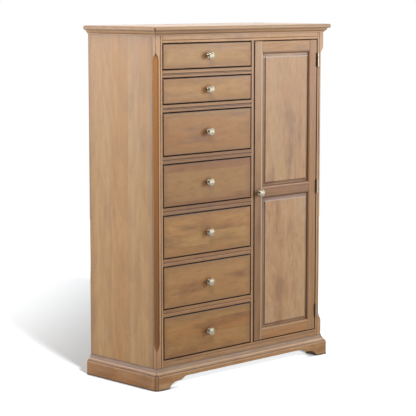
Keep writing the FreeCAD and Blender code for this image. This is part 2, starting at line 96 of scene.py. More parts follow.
# How the glued boards vary in width, how far apart in a tree they were cut, and where a glue line lies
strip_swing = 0.3
strip_swing_rate = 2.3
strip_salt = 1.37
strip_shift = (3.7, 0.21, 0.11)
glue_span = (0.488, 0.5)

# How far one drawer's boards are from the next one's in the pattern
drawer_seed = 1.71

# Growth rings round a pith that wanders behind the face
bend_waves = (1.3, 5.0, 5.0)
bend_most = 0.075
pith_fold = 0.09
pith_slope = 0.045
pith_deep = 0.05
ring_wide = 0.0105
ring_start = 0.15
ring_dark = 0.94

# Waves in a metre along the grain, across it and through it, and where the pores start and are full
blotch_waves = (4.0, 13.0, 13.0)
drift_waves = (0.9, 6.0, 6.0)
mottle_waves = (19.0, 52.0, 52.0)
band_waves = (1.6, 48.0, 48.0)
streak_waves = (7.0, 240.0, 240.0)
fibre_waves = (28.0, 1500.0, 1500.0)
pore_waves = (150.0, 2300.0, 2300.0)
pore_span = (0.70, 0.78)

# Chamfers and facets: which faces count, how strong the colour painted on them is, a shade on the chamfers and
# a light on the base's facets, and how the chamfers' painted light grows with height. The last two are where
# the glazing and painted shade of other edges stops beside them.
slant_span = (0.20, 0.45)
chamfer_most = 0.75
chamfer_span = (0.1, 1.5)
chamfer_tone = (-0.42, 0.38)
off_chamfer = (0.9, 0.3)
off_facet = (0.9, 0.5)

# Tones of the wood by its height and its fibres
climb_span = (0.5, 1.45)
fibre_tone = 0.16

# A painted shadow round a knob, and smoky glazing along a board's rim, where each starts and is full
knob_shadow_span = (0.030, 0.011)
knob_shadow_most = 0.80
rim_patch = 0.055
rim_span = (0.012, -0.024)
rim_most = 0.30
rim_line = (0.0042, 0.0016)

# Glazing and painted shade in hollows, glazing in glue lines, the full middle of a line, and glazing and
# painted shade in the sunk beads of the front
hollow_reach = 0.011
hollow_span = (0.90, 0.34)
glue_most = 0.22
line_core = 0.2
bead_front = (0.0003, 0.0016)
bead_back = (0.0040, 0.0030)

# The height where the front rails' beads and edges start to darken with glazing and painted shade, over what
# height, and what is below it
bead_low = 0.9
plain_rise = 0.15
plain_least = 0.15

# How dark the glazing and painted shade in the front rails' hollows are, before that of their beads is added
rail_dirt = 0.45

# Sharp edges: how far they are looked for, and where they start and are full
round_reach = 0.0015
lean_reach = 0.0050
sharp_span = (0.985, 0.85)
bare_and_lit_span = (0.25, 0.55)
upright_span = (0.14, 0.04)
eased_span = (0.98, 0.92)

# Relief and roughness of the finishes
streak_high = 0.5
fibre_high = 0.35
pores_high = -0.6
relief = 0.0004
fine_relief = 0.0001
stained_rough = (0.42, 0.52)
plain_rough = (0.55, 0.66)
plastic_rough = (0.45, 0.6)
ply_rings = 0.06

# Waves in a metre of the metal's scratches and haze, and of the plastic's skin
knob_scratches = (60.0, 60.0, 60.0)
hinge_scratches = (900.0, 900.0, 40.0)
haze_waves = (90.0, 90.0, 90.0)
pebble_waves = (1800.0, 1800.0, 1800.0)
dull_waves = (60.0, 60.0, 60.0)

# How rough scratches and haze make the metal, how its crevices tarnish, and the soft edge and place of the
# painted dark reflection on a hinge's barrel
scratch_rough = 0.10
haze_rough = 0.06
tarnish_reach = 0.004
tarnish_span = (0.8, 0.2)
tarnish_most = 0.7
reflection_edge = 0.0008
barrel_shade = 0.0022

# How much painted shade in umber each drawer rail takes, from the top down, and how far round it
rail_painted_shade = (0.06, 0.20, 0.49, 0.56, 0.33, 0.19)
rail_reach = 0.06

# How light each drawer front is, from the top down
drawer_light = (0.88, 0.90, 0.835, 0.71, 0.93, 0.835, 0.86)

# How little red each drawer front is, from the top down
drawer_cool = (0.985, 1.0, 1.03, 0.93, 1.10, 0.96, 1.0)

# Studio
aim = (0.0, -0.1, 0.8)
key_place = (3.3, -3.4, 2.0)
key_size = 1.8
key_power = 102.0
side_place = (-3.6, 3.0, 2.0)
side_size = 1.8
side_power = 108.0
low_key_place = (3.3, -3.4, 1.0)
low_side_place = (-3.6, 3.0, 1.0)
fill_place = (-1.6, -1.8, 3.6)
fill_size = 1.2
fill_power = 48.0
floor_suns = (
    ("floor_sun", (0.245, 0.802, -0.545), math.radians(9), 3.9),
    ("floor_skim", (0.256, 0.957, -0.139), math.radians(6), 11.0),
)
strip_way = (0.690, -0.710, -0.130)
strip_left = (-0.717, -0.697, 0.0)
strip_level = 0.95
strip_edge_level = 0.45
strip_split = (-0.02, 0.02)
strip_span = (0.82, 0.88)
strip_top = (0.30, 0.14)
world_level = 0.22
mirror_level = 0.32
backdrop_level = 1.9
backdrop_way = (0.68, 0.70, 0.20)
backdrop_span = (-0.1, 0.6)
# The floor's glow, painted dimmer near the chest so that its shadow fades with distance, and brighter in front
floor_lift = 0.265
floor_lift_far = 0.87
floor_lift_front = 0.15
floor_fade_way = (-0.586, 0.810, 0.0)
floor_near, floor_far = 0.33, 1.45
floor_bounce = 0.25
# A painted contact shadow on the floor at the chest's foot: how far it looks, where it starts and is full, how
# dark
contact_reach = 0.045
contact_span = (0.5, 0.9)
contact_dark = 0.30
floor_reach = 4.0

# Knobs
knob_rose = 0.0105
knob_rose_thick = 0.0030
knob_collar = 0.0080
knob_collar_thick = 0.0020
knob_neck = 0.0055
knob_face = 0.0160
knob_out = 0.0260
knob_rim = 0.0050
knob_lip = 0.0025
knob_lip_bow = 0.0009
knob_swell = 0.0015
knob_ring = 0.0105
knob_ring_deep = 0.0008
knob_ring_width = 0.0016
knob_waist_bow = 0.0035
knob_ease = 0.0005
screw_head = 0.0045
screw_head_thick = 0.0025
screw_shank = 0.0020
screw_grip = 0.0100
knob_sides = 72
lathe_weld = 2e-5
arc_steps = 9


def ink(red, green, blue):
    """A colour given on a screen's scale, from 0 to 255, as linear light with full cover."""
    shares = [level / 255 for level in (red, green, blue)]
    lit = [c / 12.92 if c <= 0.04045 else ((c + 0.055) / 1.055) ** 2.4 for c in shares]
    return (*lit, 1.0)


# Colours of the wood, its glazing, the painted shade and highlights on it, the metal, the plastic and the
# studio
tan = ink(202, 151, 95)
honey = ink(191, 137, 80)
rosy = ink(196, 138, 90)
ashen = ink(184, 147, 106)
umber = ink(118, 74, 40)
amber = ink(186, 117, 52)
# A painted shadow round the knobs
amber_dark = ink(140, 76, 28)
# Dark glazing, also painted shade in hollows, gaps and sunk parts
glaze_and_shade = ink(52, 32, 22)
# A pale tint in the grain and on rubbed edges, also painted highlights
limed_and_highlight = ink(226, 202, 174)
pale_wood = ink(214, 190, 152)
pale_line = ink(186, 154, 112)
ply_face = ink(212, 179, 138)
nickel = ink(196, 189, 168)
steel = ink(194, 184, 170)
tarnish = ink(104, 93, 80)
# Painted shade on leaning faces, and painted shade with a grey sheen on the base's cove
mauve = ink(132, 99, 84)
# Painted highlights on faces that lean up, on the panels' crests and on the base
painted_highlight = ink(222, 208, 196)
# A colour painted on the base's facets for their light
facet_tan = ink(218, 158, 104)
# A painted dark reflection on one side of a hinge's barrel
worn_steel = ink(150, 141, 130)
catch_brown = ink(92, 70, 52)
studio_white = (1.0, 1.0, 1.0, 1.0)
floor_white = ink(231, 236, 241)


# Axes by number
on_x, on_z = 0, 2

# Painted shade and highlight on faces that lean: axis, where the lean starts and is full, share and colour
rail_tilts = ((on_z, 0.15, 0.50, 0.6, umber), (on_z, -0.03, -0.13, 0.5, umber))
panel_tilts = (
    (on_z, -0.03, -0.13, 0.6, umber), (on_x, 0.03, 0.12, 0.60, umber), (on_x, -0.03, -0.12, 0.60, umber),
)
upper_tilts = ((on_z, 0.03, 0.10, 0.40, mauve), (on_z, 0.50, 0.70, 0.90, painted_highlight))
lower_tilts = ((on_z, 0.03, 0.10, 0.90, mauve), (on_z, 0.50, 0.70, 0.45, painted_highlight))

# Lines on the boards, each as half its width, its share and its colour: glazing, tint, painted shade, painted
# shadow in gaps and painted highlights
# Painted shade along the top of the side panels
side_top_shade = (0.45, 0.18, amber)
# Painted shadow in the gaps beside the door
hinge_gap = (0.0060, 0.90, glaze_and_shade)
latch_gap = (0.0024, 0.85, glaze_and_shade)
rail_gap = (0.0024, 0.80, glaze_and_shade)
top_joint = (0.0045, 0.95, glaze_and_shade)
plain_joint = (0.0022, 0.65, glaze_and_shade)
# Painted highlight and painted shade beside the door's sticking
pale_sticking = (0.0016, 0.60, limed_and_highlight)
dark_sticking = (0.0016, 0.65, glaze_and_shade)
# A painted glint on the latch stile, and a tint at its top
stile_glint = (0.0034, 1.0, limed_and_highlight)
stile_top = (0.6, 0.45, ashen)
# Painted highlights on the crests of the panels' fields
upper_crest = (0.0034, 0.60, painted_highlight)
lower_crest = (0.0034, 0.10, painted_highlight)
facet_edge = (0.0022, 0.80, glaze_and_shade)

# Lines on the base, each with its axis and height before these.
# They hold glazing and painted shade in its steps and cove, a painted shadow along its foot and a painted
# highlight below its cove.
base_lines = [
    (on_z, 0.0630, 0.0044, 0.60, glaze_and_shade), (on_z, 0.0825, 0.0125, 0.50, glaze_and_shade),
    (on_z, 0.0890, 0.0022, 0.70, glaze_and_shade), (on_z, 0.0020, 0.0038, 0.75, glaze_and_shade),
    (on_z, 0.0718, 0.0026, 0.65, painted_highlight),
]
# Painted shade and a painted grey sheen on the cove of the base's sides
side_cove = (on_z, 0.0775, 0.007, 0.45, mauve)


def node(tree, kind, inputs=(), **settings):
    """A new node. Each input is a value or another node's output, by its name or number."""
    made = tree.nodes.new(kind)
    for name, value in settings.items():
        setattr(made, name, value)
    for name, value in dict(inputs).items():
        if isinstance(value, bpy.types.NodeSocket):
            tree.links.new(value, made.inputs[name])
        else:
            made.inputs[name].default_value = value
    return made


def maths(tree, operation, *values):
    """One sum on numbers."""
    return node(tree, "ShaderNodeMath", enumerate(values), operation=operation).outputs[0]


def vectors(tree, operation, *values):
    """One sum on vectors."""
    return node(tree, "ShaderNodeVectorMath", enumerate(values), operation=operation).outputs[0]


def parts_of(tree, vector):
    """The X, Y and Z of a vector."""
    return node(tree, "ShaderNodeSeparateXYZ", {0: vector}).outputs


def product(tree, first, *others):
    """Numbers multiplied together."""
    for other in others:
        first = maths(tree, "MULTIPLY", first, other)
    return first


def scaled(tree, vector, factor):
    """A vector or a colour times a number."""
    return node(tree, "ShaderNodeVectorMath", {0: vector, "Scale": factor}, operation="SCALE").outputs[0]


def dot(tree, first, second):
    """How far one vector reaches along another."""
    made = node(tree, "ShaderNodeVectorMath", {0: first, 1: second}, operation="DOT_PRODUCT")
    return made.outputs["Value"]


def length_of(tree, vector):
    """The length of a vector."""
    return node(tree, "ShaderNodeVectorMath", {0: vector}, operation="LENGTH").outputs["Value"]


def spread(tree, value, low, high, to_low=0.0, to_high=1.0):
    """A value eased smoothly from one span to another."""
    return node(
        tree, "ShaderNodeMapRange",
        {"Value": value, "From Min": low, "From Max": high, "To Min": to_low, "To Max": to_high},
        interpolation_type="SMOOTHSTEP",
    ).outputs[0]


def mixed(tree, share, first, second):
    """Two colours mixed by a share."""
    return node(tree, "ShaderNodeMix", {0: share, 6: first, 7: second}, data_type="RGBA").outputs[2]


def layered(tree, colour, pattern, most, tint):
    """A colour with a tint over it, as strong as a pattern from 0 to 1."""
    return mixed(tree, maths(tree, "MULTIPLY", pattern, most), colour, tint)


def cloud(tree, place, waves, detail=2.0, rough=0.5):
    """Soft noise from 0 to 1, with so many waves in a metre along each way of the place."""
    given = {"Vector": vectors(tree, "MULTIPLY", place, waves), "Scale": 1.0, "Detail": detail}
    return node(tree, "ShaderNodeTexNoise", {**given, "Roughness": rough}).outputs[0]


def hollows(tree, reach, samples=6):
    """How open the surface is: 1 on a flat face and less in a corner."""
    return node(tree, "ShaderNodeAmbientOcclusion", {"Distance": reach}, samples=samples).outputs["AO"]


def bumped(tree, height, strength, deep, **normal):
    """The normal of a surface with fine relief."""
    given = {"Height": height, "Strength": strength, "Distance": deep, **normal}
    return node(tree, "ShaderNodeBump", given).outputs[0]


def surfaced(tree, given):
    """Ends a material in one shader."""
    shell = node(tree, "ShaderNodeBsdfPrincipled", given).outputs[0]
    node(tree, "ShaderNodeOutputMaterial", {"Surface": shell})


def new_group(name, inputs, outputs):
    """An empty shader group with its sockets."""
    tree = bpy.data.node_groups.new(name, "ShaderNodeTree")
    for label, kind in inputs.items():
        tree.interface.new_socket(label, in_out="INPUT", socket_type=kind)
    for label in outputs:
        tree.interface.new_socket(label, in_out="OUTPUT", socket_type="NodeSocketFloat")
    return tree, node(tree, "NodeGroupInput").outputs, node(tree, "NodeGroupOutput").inputs


def make_grain():
    """The patterns of sawn hardwood, in a place whose X runs along the grain and Y across the board.

    Strips are boards glued side by side. Each has its own colour and is cut elsewhere from a tree.
    """
    tree, given, wanted = new_group(
        "sawn_grain",
        {
            "Place": "NodeSocketVector", "Strip": "NodeSocketFloat", "Figure": "NodeSocketFloat",
            "Seed": "NodeSocketFloat",
        },
        (
            "Strip tone", "Strip hue", "Blotch", "Drift", "Rings", "Mottle", "Band", "Streak", "Fibre",
            "Pores", "Joint",
        ),
    )
    count = maths(tree, "DIVIDE", parts_of(tree, given["Place"])[1], given["Strip"])
    swing = maths(tree, "SINE", maths(tree, "MULTIPLY_ADD", count, strip_swing_rate, given["Seed"]))
    count = maths(tree, "ADD", maths(tree, "MULTIPLY_ADD", swing, strip_swing, count), given["Seed"])
    strip = maths(tree, "FLOOR", count)
    chance = node(
        tree, "ShaderNodeTexWhiteNoise",
        {"W": maths(tree, "MULTIPLY_ADD", strip, strip_salt, given["Seed"])}, noise_dimensions="1D",
    ).outputs["Color"]
    from_middle = maths(tree, "ABSOLUTE", maths(tree, "SUBTRACT", maths(tree, "FRACT", count), 0.5))
    drawn = node(tree, "ShaderNodeSeparateColor", {0: chance}).outputs
    place = vectors(tree, "ADD", given["Place"], vectors(tree, "MULTIPLY", chance, strip_shift))
    figure = scaled(tree, place, given["Figure"])

    bend = cloud(tree, place, bend_waves, 1.0)
    bend = maths(tree, "MULTIPLY", maths(tree, "SUBTRACT", bend, 0.5), bend_most)
    parts = parts_of(tree, place)
    pith_across = maths(tree, "ADD", maths(tree, "PINGPONG", parts[1], pith_fold), bend)
    pith_through = maths(tree, "ADD", parts[2], maths(tree, "MULTIPLY_ADD", parts[0], pith_slope, pith_deep))
    pith = node(tree, "ShaderNodeCombineXYZ", {0: pith_across, 1: pith_through, 2: 0.0}).outputs[0]
    ring = maths(tree, "FRACT", maths(tree, "DIVIDE", length_of(tree, pith), ring_wide))
    late, early = spread(tree, ring, ring_start, ring_dark), spread(tree, ring, 1.0, ring_dark)

    results = {
        "Strip tone": drawn[0],
        "Strip hue": drawn[1],
        "Blotch": cloud(tree, figure, blotch_waves, 3.0, 0.5),
        "Drift": cloud(tree, place, drift_waves, 1.0),
        "Rings": product(tree, late, early),
        "Mottle": cloud(tree, place, mottle_waves, 4.0, 0.65),
        "Band": cloud(tree, place, band_waves, 2.0, 0.55),
        "Streak": cloud(tree, place, streak_waves, 3.0, 0.6),
        "Fibre": cloud(tree, place, fibre_waves, 2.0, 0.6),
        "Pores": spread(tree, cloud(tree, place, pore_waves, 0.0), *pore_span),
        "Joint": spread(tree, from_middle, *glue_span),
    }
    for label, result in results.items():
        tree.links.new(result, wanted[label])
    return tree


grain = make_grain()

# Which of X, Y and Z runs along the grain, across the board and through it
along_x = (0, 2, 1)
along_x_flat = (0, 1, 2)
along_y = (1, 2, 0)
upright_front = (2, 0, 1)
upright_side = (2, 1, 0)


def new_material(name):
    """An empty material whose name isn't taken by the frame's own."""
    made = bpy.data.materials.new("finish_" + name)
    made.use_nodes = True
    made.node_tree.nodes.clear()
    return made, made.node_tree


def board_place(tree, way):
    """The place on a board, along the grain, across it and through it, and the place on the object."""
    spot = node(tree, "ShaderNodeTexCoord").outputs["Object"]
    parts = parts_of(tree, spot)
    turned = {number: parts[axis] for number, axis in enumerate(way)}
    return node(tree, "ShaderNodeCombineXYZ", turned).outputs[0], spot


def sawn(tree, place, strip, seed, figure=1.0):
    """The patterns of a board cut at a place."""
    given = {"Place": place, "Strip": strip, "Figure": figure, "Seed": seed}
    return node(tree, "ShaderNodeGroup", given, node_tree=grain).outputs


def rim_of(tree, parts, box, way):
    """How far the spot lies from the nearest edge of the board's broad face."""
    nearest = None
    for axis in way[:2]:
        from_low = maths(tree, "SUBTRACT", parts[axis], box[0][axis])
        from_high = maths(tree, "SUBTRACT", box[1][axis], parts[axis])
        nearer = maths(tree, "MINIMUM", from_low, from_high)
        nearest = nearer if nearest is None else maths(tree, "MINIMUM", nearest, nearer)
    return nearest


def stained(tree, found, wear):
    """The colour of stained wood with its strips, clouds, rings, bands, streaks and pores, and a pale wash,
    partly a paler finish and partly painted sheen.
    """
    bold, fine = wear.get("bold", 1.0), wear.get("fine", 1.0)
    colour = mixed(tree, spread(tree, found["Drift"], 0.30, 0.72), tan, honey)
    clouded = maths(tree, "MULTIPLY_ADD", found["Strip tone"], 0.12, found["Blotch"])
    # Each pattern, where it starts and is full, how much of it there is, and its colour
    for pattern, low, high, most, tint in (
        (found["Strip hue"], 0.25, 0.90, wear.get("hues", 0.38), rosy),
        (found["Strip tone"], 0.35, 0.75, wear.get("boards", 0.10), ashen),
        (found["Drift"], 0.45, 0.75, 0.22 * bold, amber),
        (clouded, 0.44, 0.84, 0.44 * bold, ashen),
        (found["Blotch"], 0.52, 0.24, 0.44 * bold, umber),
        (found["Rings"], 0.0, 1.0, wear.get("rings", 0.15 * bold), umber),
        (found["Mottle"], 0.50, 0.78, 0.24 * bold, umber),
        (found["Mottle"], 0.50, 0.22, 0.15 * bold, limed_and_highlight),
        (found["Band"], 0.50, 0.78, 0.24 * fine, umber),
        (found["Band"], 0.50, 0.22, 0.18 * fine, limed_and_highlight),
        (found["Streak"], 0.50, 0.80, 0.18 * fine, umber),
        (found["Streak"], 0.50, 0.20, 0.12 * fine, limed_and_highlight),
        (found["Pores"], 0.0, 1.0, 0.30, umber),
    ):
        colour = layered(tree, colour, spread(tree, pattern, low, high), most, tint)
    colour = vectors(tree, "MULTIPLY", colour, wear.get("cast", (1.0, 1.0, 1.0)))
    # A pale wash, partly a paler finish and partly painted sheen
    return mixed(tree, wear.get("bleached", 0.0), colour, limed_and_highlight)


def lightness(tree, found, height, slant, light, wear):
    """How light the wood is, by its strip, its fibres and its height, with painted light on chamfers that
    grows towards the top.
    """
    apart = wear.get("apart", 0.10)
    tone = maths(tree, "MULTIPLY_ADD", found["Strip tone"], apart, light - apart / 2)
    tone = maths(tree, "MULTIPLY_ADD", maths(tree, "SUBTRACT", found["Fibre"], 0.5), fibre_tone, tone)
    # Chamfers are painted darker low down and lighter high up, as painted light
    if "slanted" not in wear:
        lifted = spread(tree, height, *chamfer_span, *chamfer_tone)
        tone = maths(tree, "MULTIPLY_ADD", slant, lifted, tone)
    if "climb" in wear:
        tone = maths(tree, "ADD", tone, spread(tree, height, *climb_span, -wear["climb"], wear["climb"]))
    return tone


def glazed_wood(name, way, strip, seed, light, **wear):
    """The outside finish: stained hardwood with glazing and painted shade in its corners, its edges rubbed and
    painted pale, lacquered.

    The way says how the grain runs, the strip is how wide its glued boards are, and the light is how light
    it is. The wear is named, and each name may be left out:
    cast, a tint over all of it; bleached, how pale it is, partly a paler finish and partly painted sheen;
    coat, how much lacquer it has;
    boards, hues and apart, how unlike its strips are in greyness, redness and lightness;
    bold and fine, how strong the clouds and the streaks are; figure, how small the clouds are; rings, how
    dark the rings are; climb, how much lighter it grows towards the top;
    rim, the board's box, whose edges are smoky; arris and corner, how dark all sharp edges and only the
    upright ones are, with glazing, which for the arris beside gaps is painted gap shade; worn, how pale
    the sharp edges are, partly rubbed and partly painted highlight; dirt, how dark the hollows are, with
    glazing and painted shade;
    plane and sunk, the face that beads are cut into and how dark their sunk parts are, with glazing and
    painted shade; low, the height below which beads and edges are plain;
    slanted, the colour painted on chamfers for their shade, and on the base's facets for their light; tilts,
    painted shade and highlight on faces that lean; knob, the place round which a shadow is painted; lines,
    bands of glazing, tint, painted shade and painted highlight, each as an axis, a place on it, half its
    width, its share and its colour.
    """
    made, tree = new_material(name)
    place, spot = board_place(tree, way)
    parts = parts_of(tree, spot)
    found = sawn(tree, place, strip, seed, wear.get("figure", 1.0))
    true = node(tree, "ShaderNodeNewGeometry").outputs["Normal"]
    facing = parts_of(tree, true)
    slant = maths(tree, "ABSOLUTE", maths(tree, "MULTIPLY", facing[0], facing[1]))
    slant = spread(tree, slant, *slant_span)

    colour = stained(tree, found, wear)
    # A painted shadow with warm bounce round a knob
    if "knob" in wear:
        away = vectors(tree, "MULTIPLY", vectors(tree, "SUBTRACT", spot, wear["knob"]), (1.0, 0.0, 1.0))
        knob_shadow = spread(tree, length_of(tree, away), *knob_shadow_span)
        colour = layered(tree, colour, knob_shadow, knob_shadow_most, amber_dark)
    # Chamfers take a colour painted for their shade, and the base's facets one for their light
    colour = layered(tree, colour, slant, chamfer_most, wear.get("slanted", amber))
    # Faces that lean take painted shade and highlight
    for axis, low, high, most, tint in wear.get("tilts", ()):
        colour = layered(tree, colour, spread(tree, facing[axis], low, high), most, tint)
    colour = scaled(tree, colour, lightness(tree, found, parts[2], slant, light, wear))

    if "rim" in wear:
        edge = rim_of(tree, parts, wear["rim"], way)
        patchy = maths(tree, "MULTIPLY", found["Blotch"], rim_patch)
        halo = spread(tree, maths(tree, "SUBTRACT", edge, patchy), *rim_span)
        colour = layered(tree, colour, halo, rim_most, umber)
        # Glazing and painted gap shade along the rim's sharp edge
        colour = layered(tree, colour, spread(tree, edge, *rim_line), wear.get("arris", 0.0), glaze_and_shade)
    # Glazing and painted shade in the hollows
    dirt = spread(tree, hollows(tree, hollow_reach), *hollow_span)
    colour = layered(tree, colour, dirt, wear.get("dirt", 0.80), glaze_and_shade)
    colour = layered(tree, colour, found["Joint"], glue_most, glaze_and_shade)
    for axis, middle, half, most, tint in wear.get("lines", ()):
        off = maths(tree, "ABSOLUTE", maths(tree, "SUBTRACT", parts[axis], middle))
        colour = layered(tree, colour, spread(tree, off, half, half * line_core), most, tint)
    marked = 1.0
    if "low" in wear:
        marked = spread(tree, parts[2], wear["low"], wear["low"] + plain_rise, plain_least, 1.0)
    # Glazing and painted shade in the sunk parts behind the front's beads
    if "plane" in wear:
        behind = maths(tree, "SUBTRACT", parts[1], wear["plane"])
        bead = product(tree, spread(tree, behind, *bead_front), spread(tree, behind, *bead_back), marked)
        colour = layered(tree, colour, bead, wear.get("sunk", 0.40), glaze_and_shade)

    leaning = node(tree, "ShaderNodeBevel", {"Radius": lean_reach}, samples=4).outputs[0]
    sharp = spread(tree, dot(tree, leaning, true), *sharp_span)
    # Sharp edges, partly rubbed pale and partly painted with highlights
    bare_and_lit = product(tree, sharp, spread(tree, found["Blotch"], *bare_and_lit_span), maths(tree, "SUBTRACT", 1.0, dirt))
    colour = layered(tree, colour, bare_and_lit, wear.get("worn", 0.0), limed_and_highlight)
    upright = spread(tree, maths(tree, "ABSOLUTE", parts_of(tree, leaning)[2]), *upright_span)
    beside = product(tree, sharp, upright, spread(tree, slant, *off_chamfer))
    colour = layered(tree, colour, beside, wear.get("corner", 0.0), glaze_and_shade)
    # Glazing on sharp edges, which beside the gaps is painted gap shade
    if "arris" in wear:
        square = node(tree, "ShaderNodeVectorMath", {0: true}, operation="ABSOLUTE").outputs[0]
        square = parts_of(tree, square)
        square = maths(tree, "MAXIMUM", maths(tree, "MAXIMUM", square[0], square[1]), square[2])
        eased = product(tree, spread(tree, square, *eased_span), spread(tree, slant, *off_facet))
        sharp = product(tree, maths(tree, "MAXIMUM", sharp, eased), marked)
        colour = layered(tree, colour, sharp, wear["arris"], glaze_and_shade)

    height = maths(tree, "MULTIPLY", found["Streak"], streak_high)
    height = maths(tree, "MULTIPLY_ADD", found["Fibre"], fibre_high, height)
    height = maths(tree, "MULTIPLY_ADD", found["Pores"], pores_high, height)
    rounded = node(tree, "ShaderNodeBevel", {"Radius": round_reach}, samples=4).outputs[0]
    surfaced(tree, {
        "Base Color": colour,
        "Roughness": spread(tree, found["Blotch"], 0.3, 0.7, *stained_rough),
        "Normal": bumped(tree, height, 0.35, relief, Normal=rounded),
        "Specular IOR Level": 0.5, "Coat Weight": wear.get("coat", 0.15), "Coat Roughness": 0.48,
    })
    return made


def plain_wood(name, way, strip, seed, base=pale_wood, ringed=0.45):
    """The wood inside, sanded and sealed but not stained."""
    made, tree = new_material(name)
    found = sawn(tree, board_place(tree, way)[0], strip, seed)
    colour = layered(tree, base, found["Rings"], ringed, pale_line)
    # Each pattern, where it starts and is full, and how much of it there is
    for pattern, low, high, most in (
        ("Band", 0.40, 0.80, 0.30), ("Blotch", 0.40, 0.80, 0.25), ("Streak", 0.45, 0.80, 0.40),
    ):
        colour = layered(tree, colour, spread(tree, found[pattern], low, high), most, pale_line)
    colour = layered(tree, colour, found["Pores"], 0.35, umber)
    colour = scaled(tree, colour, maths(tree, "MULTIPLY_ADD", found["Strip tone"], 0.12, 0.92))
    colour = layered(tree, colour, found["Joint"], 0.35, umber)
    height = maths(tree, "MULTIPLY_ADD", found["Pores"], pores_high, found["Streak"])
    surfaced(tree, {
        "Base Color": colour,
        "Roughness": spread(tree, found["Streak"], 0.3, 0.7, *plain_rough),
        "Normal": bumped(tree, height, 0.3, relief),
    })
    return made


def satin_metal(name, colour, rough, streaks, dark_reflection_x=None):
    """Brushed metal with fine scratches and tarnish in its crevices, painted darker on one side of an X where
    that is given, as a painted dark reflection.
    """
    made, tree = new_material(name)
    spot = node(tree, "ShaderNodeTexCoord").outputs["Object"]
    scratch = cloud(tree, spot, streaks, 3.0, 0.7)
    haze = cloud(tree, spot, haze_waves, 2.0)
    level = maths(tree, "MULTIPLY_ADD", scratch, scratch_rough, rough - scratch_rough / 2)
    level = maths(tree, "MULTIPLY_ADD", haze, haze_rough, level)
    crevice = hollows(tree, tarnish_reach)
    shade = mixed(tree, spread(tree, crevice, *tarnish_span, 0.0, tarnish_most), colour, tarnish)
    # One side of a hinge's barrel is painted darker, as a painted dark reflection
    if dark_reflection_x is not None:
        across = parts_of(tree, spot)[0]
        reflected_dark = spread(tree, across, dark_reflection_x + reflection_edge, dark_reflection_x - reflection_edge)
        shade = mixed(tree, reflected_dark, shade, worn_steel)
    surfaced(tree, {
        "Base Color": shade, "Metallic": 1.0, "Roughness": level,
        "Normal": bumped(tree, scratch, 0.05, fine_relief),
    })
    return made


def moulded_plastic(name, colour):
    """Dull moulded plastic with a fine pebbled skin."""
    made, tree = new_material(name)
    spot = node(tree, "ShaderNodeTexCoord").outputs["Object"]
    pebble = cloud(tree, spot, pebble_waves, 2.0)
    haze = cloud(tree, spot, dull_waves, 2.0)
    surfaced(tree, {
        "Base Color": mixed(tree, haze, colour, umber),
        "Roughness": spread(tree, pebble, 0.3, 0.7, *plastic_rough),
        "Normal": bumped(tree, pebble, 0.2, fine_relief),
    })
    return made


def islands(work):
    """The faces of each separate solid in a mesh."""
    unclaimed = set(work.faces)
    found = []
    while unclaimed:
        waiting = [unclaimed.pop()]
        group = list(waiting)
        while waiting:
            face = waiting.pop()
            for edge in face.edges:
                for beside in edge.link_faces:
                    if beside in unclaimed:
                        unclaimed.discard(beside)
                        waiting.append(beside)
                        group.append(beside)
        found.append(group)
    return found


def merged(name):
    """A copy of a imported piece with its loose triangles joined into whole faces."""
    work = bmesh.new()
    work.from_mesh(frame["nodes"][name].data)
    bmesh.ops.remove_doubles(work, verts=work.verts, dist=weld)
    bmesh.ops.dissolve_limit(
        work, angle_limit=flat_angle, verts=work.verts, edges=work.edges, use_dissolve_boundaries=False
    )
    return work


def piece_from(work, name, materials):
    """An object made of a finished bmesh, smooth over gentle turns and sharp over hard ones."""
    for face in work.faces:
        face.smooth = True
    for edge in work.edges:
        edge.smooth = len(edge.link_faces) == 2 and edge.calc_face_angle(0) < smooth_angle
    mesh = bpy.data.meshes.new(name)
    work.to_mesh(mesh)
    work.free()
    if "custom_normal" in mesh.attributes:
        mesh.attributes.remove(mesh.attributes["custom_normal"])
    for material in materials:
        mesh.materials.append(material)
    made = bpy.data.objects.new(name, mesh)
    bpy.context.scene.collection.objects.link(made)
    return made


def baked(made):
    """Turns an object's modifiers into its own mesh."""
    scene_now = bpy.context.evaluated_depsgraph_get()
    plain = bpy.data.meshes.new_from_object(made.evaluated_get(scene_now), depsgraph=scene_now)
    made.modifiers.clear()
    made.data = plain


def softened(name, materials, ease=board_ease):
    """A board with its sharp edges eased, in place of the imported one.

    A second material is for the solids that are longer from front to back than from side to side.
    """
    work = merged(name)
    if len(materials) > 1:
        for group in islands(work):
            low, high = span(group)
            for face in group:
                face.material_index = int(high.x - low.x < high.y - low.y)
    made = piece_from(work, name + "_eased", materials)
    bevel = made.modifiers.new("ease", "BEVEL")
    bevel.width = ease
    bevel.segments = 2
    bevel.limit_method = "ANGLE"
    bevel.angle_limit = smooth_angle
    bevel.harden_normals = True
    baked(made)
    return dressed(made, name)


def span(faces):
    """The lowest and highest corners of some faces."""
    points = [corner.co for face in faces for corner in face.verts]
    low = Vector([min(point[axis] for point in points) for axis in range(3)])
    high = Vector([max(point[axis] for point in points) for axis in range(3)])
    return low, high


def dressed(made, name):
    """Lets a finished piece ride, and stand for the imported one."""
    source = frame["nodes"][name]
    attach(made, source["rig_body"])
    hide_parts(name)
    return made


def painted(name, material):
    """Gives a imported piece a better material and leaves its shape."""
    for slot in frame["nodes"][name].material_slots:
        slot.material = material


